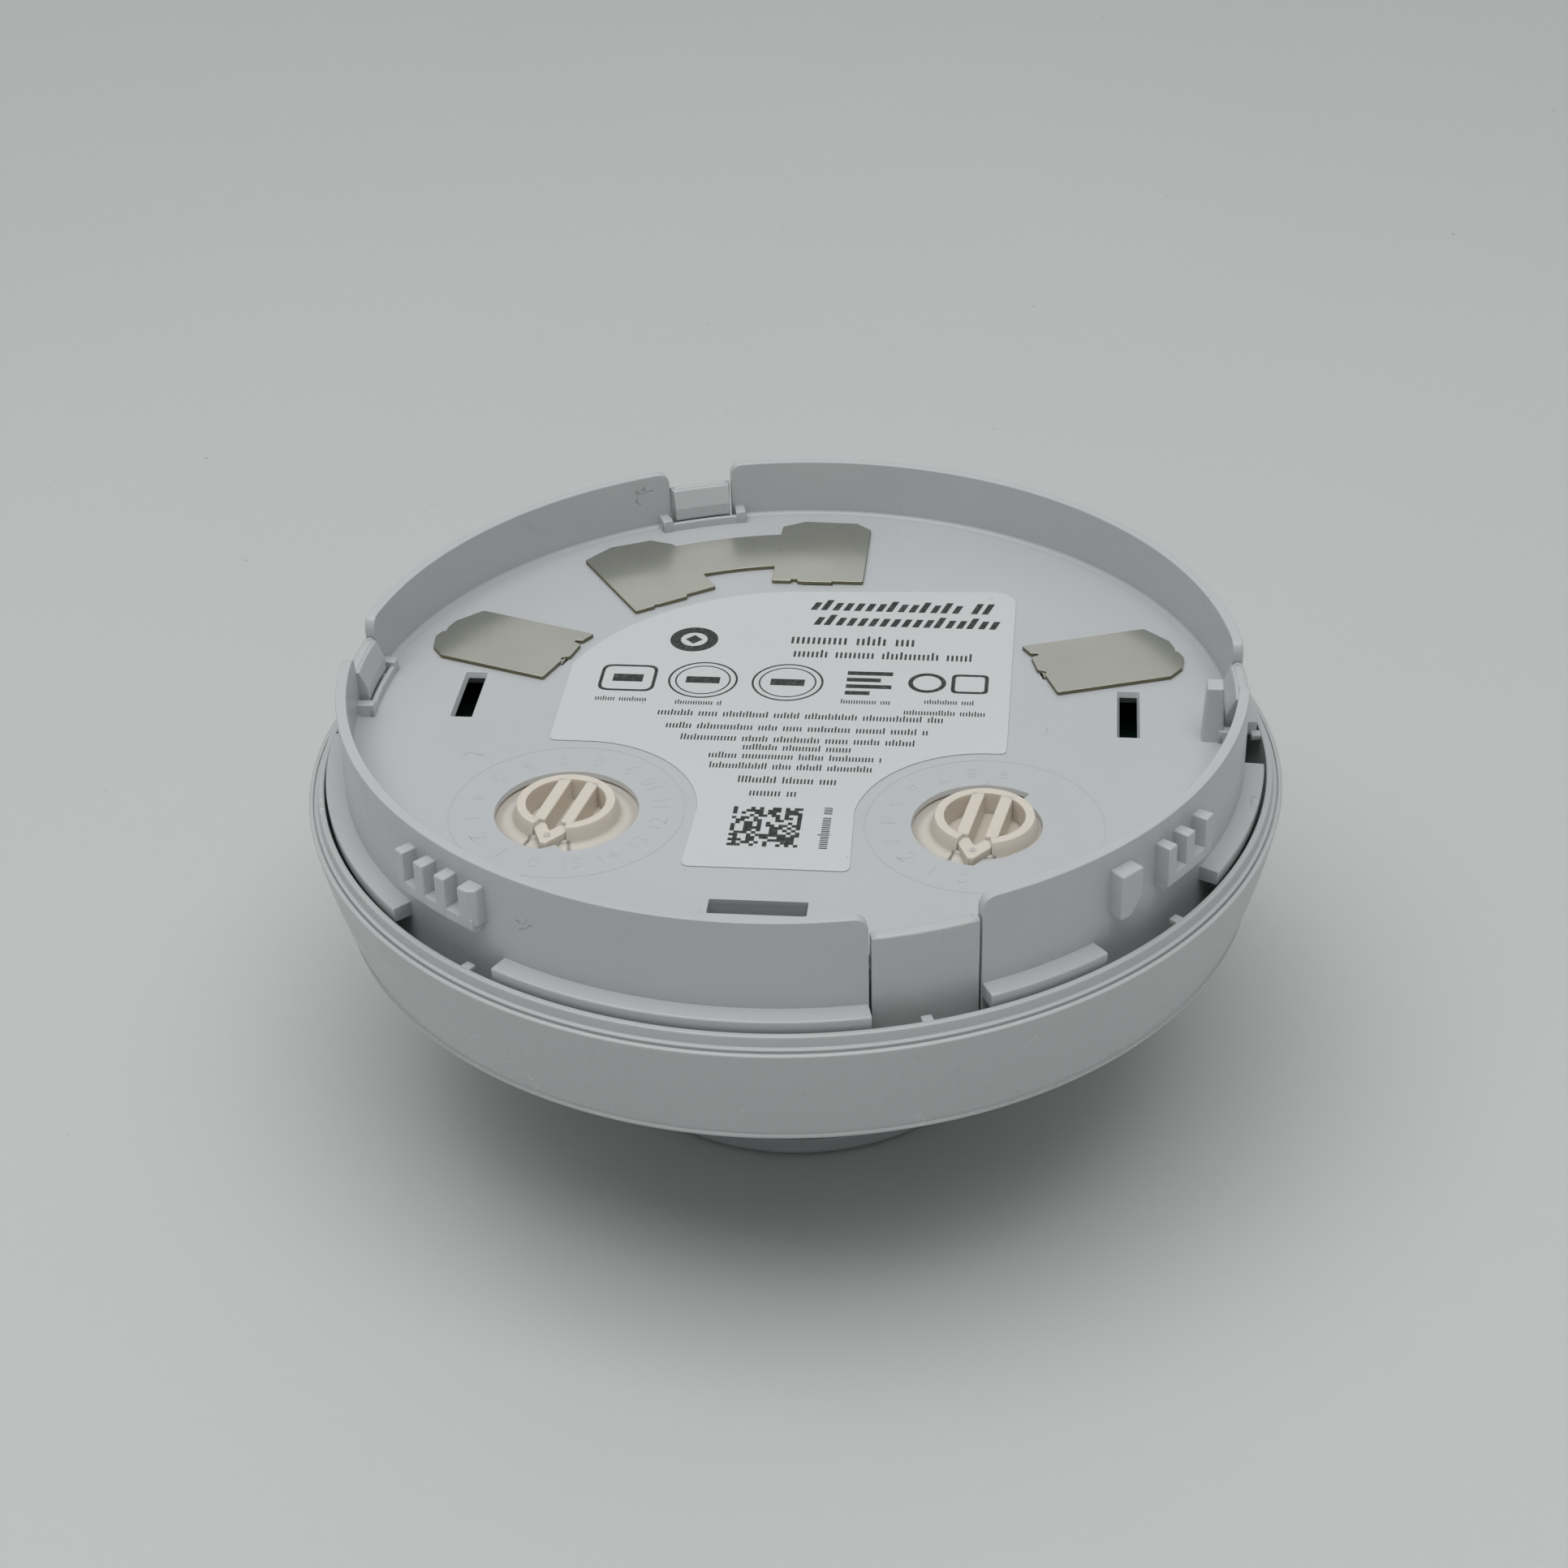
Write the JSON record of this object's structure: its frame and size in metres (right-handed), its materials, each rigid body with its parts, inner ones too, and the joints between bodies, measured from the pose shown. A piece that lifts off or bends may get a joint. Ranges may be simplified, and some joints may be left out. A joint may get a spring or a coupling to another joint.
{
  "type": "heat detector head",
  "caption": "Round plug-in heat detector head with a slotted back plate, contact plates, rotary address dials, spring release tabs and a caged heat sensing nose.",
  "frame": {"origin": "middle of the nose face, the lowest point as it stands with its mounting side up", "axes": "+Z from the nose up to the mounting side, +X along the label's lines, +Y to the double contact plate"},
  "size_m": [0.101, 0.101, 0.0482],
  "materials": {
    "housing": "satin white",
    "cover": "satin white",
    "label": "laminated film",
    "contact": "nickelled",
    "dial": "ivory",
    "bronze": "spring strip",
    "board": "solder mask",
    "steel": "zinc plated",
    "bead": "coated bead",
    "sleeve": "plain",
    "component": "moulded",
    "capacitor": "sleeved",
    "glass": "clear tube",
    "led": "tinted lens",
    "clear": "clear"
  },
  "bodies": {
    "housing": {"chassis": "housing", "cover": "cover", "nose_cage": "cover", "label": "label", "contact_left": "contact", "contact_right": "contact", "contact_rear": "contact", "thermistor_sleeve": "sleeve", "pcb": "board", "pcb_screw_a": "steel", "pcb_screw_b": "steel", "pcb_screw_c": "steel", "thermistor": "bead", "led_a": "led", "led_b": "led", "light_pipe_a": "clear", "light_pipe_b": "clear", "reed_switch": "glass", "microcontroller": "component", "rectifier": "component", "capacitor_large": "capacitor", "capacitor_small": "capacitor"},
    "tens_dial": {"tens_dial": "dial", "tens_wiper": "bronze"},
    "ones_dial": {"ones_dial": "dial", "ones_wiper": "bronze"},
    "tab_front": {"tab_front": "cover"},
    "tab_right": {"tab_right": "cover"},
    "tab_rear": {"tab_rear": "cover"},
    "tab_left": {"tab_left": "cover"}
  },
  "joints": [
    {"name": "tens_turn", "type": "hinge", "parent": "housing", "child": "tens_dial", "pos_m": [-0.0206, -0.0194, 0.04275], "axis": [0, 0, -1], "range_deg": [0, 337.5]},
    {"name": "ones_turn", "type": "hinge", "parent": "housing", "child": "ones_dial", "pos_m": [0.0206, -0.0194, 0.04275], "axis": [0, 0, -1], "range_deg": [0, 180]},
    {"name": "tab_front_flex", "type": "hinge", "parent": "housing", "child": "tab_front", "pos_m": [0.01619, -0.04306, 0.0289], "axis": [0.9361, 0.3518, 0], "range_deg": [0, 6.5], "stiffness_Nm_per_rad": 0.4},
    {"name": "tab_right_flex", "type": "hinge", "parent": "housing", "child": "tab_right", "pos_m": [0.04595, 0.00209, 0.0289], "axis": [-0.0454, 0.999, 0], "range_deg": [0, 6.5], "stiffness_Nm_per_rad": 0.4},
    {"name": "tab_rear_flex", "type": "hinge", "parent": "housing", "child": "tab_rear", "pos_m": [-0.01505, 0.04347, 0.0289], "axis": [-0.9449, -0.3272, 0], "range_deg": [0, 6.5], "stiffness_Nm_per_rad": 0.4},
    {"name": "tab_left_flex", "type": "hinge", "parent": "housing", "child": "tab_left", "pos_m": [-0.04595, 0.00209, 0.0289], "axis": [-0.0454, -0.999, 0], "range_deg": [0, 6.5], "stiffness_Nm_per_rad": 0.4}
  ]
}
